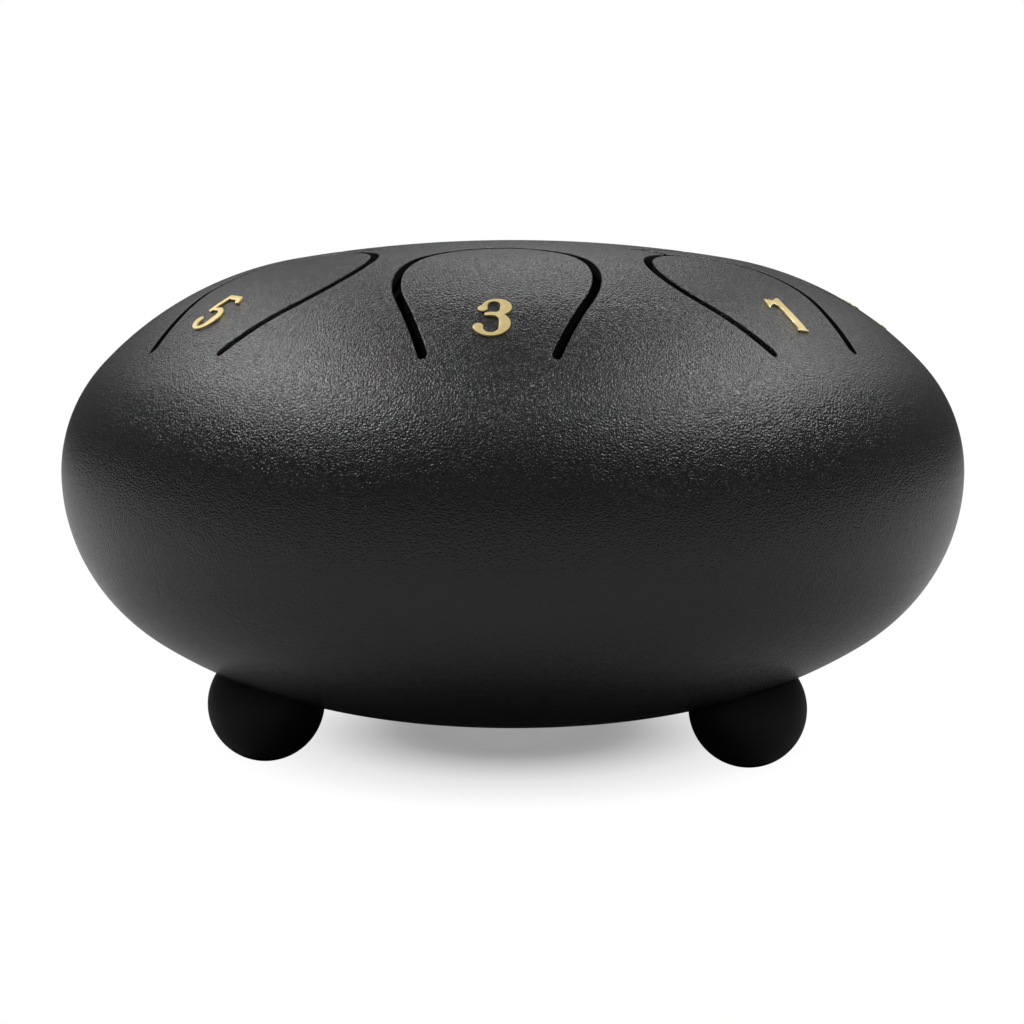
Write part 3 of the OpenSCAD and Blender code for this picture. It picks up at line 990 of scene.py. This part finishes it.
class DRUM_OT_stage(Operator):
    """Set the floor, the lamps, the white background and the camera"""

    bl_idname = "drum.stage"
    bl_label = "Stage"

    def execute(self, context):
        scene = context.scene
        self.floor()
        self.world(scene)
        for name, azimuth, elevation, power in LAMPS:
            self.lamp(name, azimuth, elevation, power)
        self.camera(scene)
        scene.view_settings.view_transform = "Standard"
        return {"FINISHED"}

    def floor(self):
        """Pale floor that shows the drum's shadow, and is plain white to the camera further out."""
        c = colours()
        bm = bmesh.new()
        below = Matrix.Translation((0, 0, -FLOOR_DROP))
        bmesh.ops.create_grid(bm, x_segments=1, y_segments=1, size=FLOOR_HALF, matrix=below)
        obj = new_object("floor", bm)
        m = Shader("floor")
        path = m.node("ShaderNodeLightPath", output="Is Camera Ray")
        lit = m.node("ShaderNodeBsdfDiffuse", inputs={"Color": (*c.floor, 1)})
        seen = m.node("ShaderNodeBsdfDiffuse", inputs={"Color": (0.5, 0.5, 0.5, 1)})
        glow = m.node("ShaderNodeEmission", inputs={"Color": (1, 1, 1, 1), "Strength": FLOOR_GLOW})
        near = m.node("ShaderNodeAddShader", inputs={0: seen, 1: glow})
        white = m.node("ShaderNodeEmission", inputs={"Color": (1, 1, 1, 1), "Strength": 1.0})
        place = m.position()
        away = m.node("ShaderNodeVectorMath", {"operation": "LENGTH"}, {0: place}, output="Value")
        fade = m.ramp(away, *FLOOR_FADE)
        shown = m.node("ShaderNodeMixShader", inputs={0: fade, 1: near, 2: white})
        surface = m.node("ShaderNodeMixShader", inputs={0: path, 1: lit, 2: shown})
        m.node("ShaderNodeOutputMaterial", inputs={"Surface": surface})
        obj.data.materials.append(m.material)

    def world(self, scene):
        """White to the camera, and dimmer to everything that it lights or is mirrored in."""
        world = bpy.data.worlds.new("studio")
        scene.world = world
        m = Shader("studio", world)
        seen = m.node("ShaderNodeLightPath", output="Is Camera Ray")
        through = m.node("ShaderNodeLightPath", output="Is Transmission Ray")
        mirrored = m.node("ShaderNodeLightPath", output="Is Glossy Ray")
        dim = m.node("ShaderNodeBackground", inputs={"Color": (1, 1, 1, 1), "Strength": WORLD_LIGHT})
        upward = m.node("ShaderNodeSeparateXYZ", inputs={0: m.position()}, output="Z")
        sky = m.ramp(upward, *WORLD_SKY)
        sheen = m.node("ShaderNodeBackground", inputs={"Color": sky, "Strength": WORLD_SHEEN})
        white = m.node("ShaderNodeBackground", inputs={"Color": (1, 1, 1, 1), "Strength": 1.0})
        soft = m.node("ShaderNodeMixShader", inputs={0: mirrored, 1: dim, 2: sheen})
        surface = m.node("ShaderNodeMixShader", inputs={0: seen + through, 1: soft, 2: white})
        m.node("ShaderNodeOutputWorld", inputs={"Surface": surface})

    def lamp(self, name, azimuth, elevation, power):
        data = bpy.data.lights.new(name, "AREA")
        data.size = LAMP_SIZE
        data.energy = power
        self.aimed(name, data, azimuth, elevation, LAMP_AWAY)

    def camera(self, scene):
        data = bpy.data.cameras.new("camera")
        data.sensor_width = 36
        data.lens = CAMERA_LENS
        data.shift_x = CAMERA_SHIFT_X
        data.shift_y = CAMERA_SHIFT_Y
        data.clip_start = 0.01
        away = CAMERA_AWAY * sizes().body_d / 2
        scene.camera = self.aimed("camera", data, CAMERA_TURN, CAMERA_RISE, away)

    def aimed(self, name, data, azimuth, elevation, away):
        """Lamp or camera that looks at the middle of the seam from some direction and distance.

        The direction is in degrees from the front to the right, and up.
        """
        obj = bpy.data.objects.new(name, data)
        bpy.context.scene.collection.objects.link(obj)
        turn, rise = math.radians(azimuth), math.radians(elevation)
        flat = math.cos(rise)
        out = Vector((math.sin(turn) * flat, -math.cos(turn) * flat, math.sin(rise)))
        obj.location = Vector((0, 0, sizes().seam_z)) + away * out
        obj.rotation_euler = (-out).to_track_quat("-Z", "Y").to_euler()
        return obj


STEPS = (
    DRUM_OT_crown,
    DRUM_OT_tongues,
    DRUM_OT_base,
    DRUM_OT_weld,
    DRUM_OT_numerals,
    DRUM_OT_feet,
    DRUM_OT_stage,
)


class DRUM_PT_panel(Panel):
    """Lists the drum's pieces, sizes and colours."""

    bl_label = "Steel Tongue Drum"
    bl_idname = "DRUM_PT_panel"
    bl_space_type = "VIEW_3D"
    bl_region_type = "UI"
    bl_category = "Drum"

    def draw(self, context):
        column = self.layout.column()
        for step in STEPS:
            column.operator(step.bl_idname)
        for group in (context.scene.drum_sizes, context.scene.drum_colours):
            for name in type(group).__annotations__:
                column.prop(group, name)


CLASSES = (DrumSizes, DrumColours, *STEPS, DRUM_PT_panel)


def register():
    for cls in CLASSES:
        bpy.utils.register_class(cls)
    bpy.types.Scene.drum_sizes = PointerProperty(type=DrumSizes)
    bpy.types.Scene.drum_colours = PointerProperty(type=DrumColours)


def unregister():
    del bpy.types.Scene.drum_colours
    del bpy.types.Scene.drum_sizes
    for cls in reversed(CLASSES):
        bpy.utils.unregister_class(cls)


def main():
    register()
    bpy.ops.drum.crown()
    bpy.ops.drum.tongues()
    bpy.ops.drum.base()
    bpy.ops.drum.weld()
    bpy.ops.drum.numerals()
    bpy.ops.drum.feet()
    bpy.ops.drum.stage()


if __name__ == "__main__":
    main()
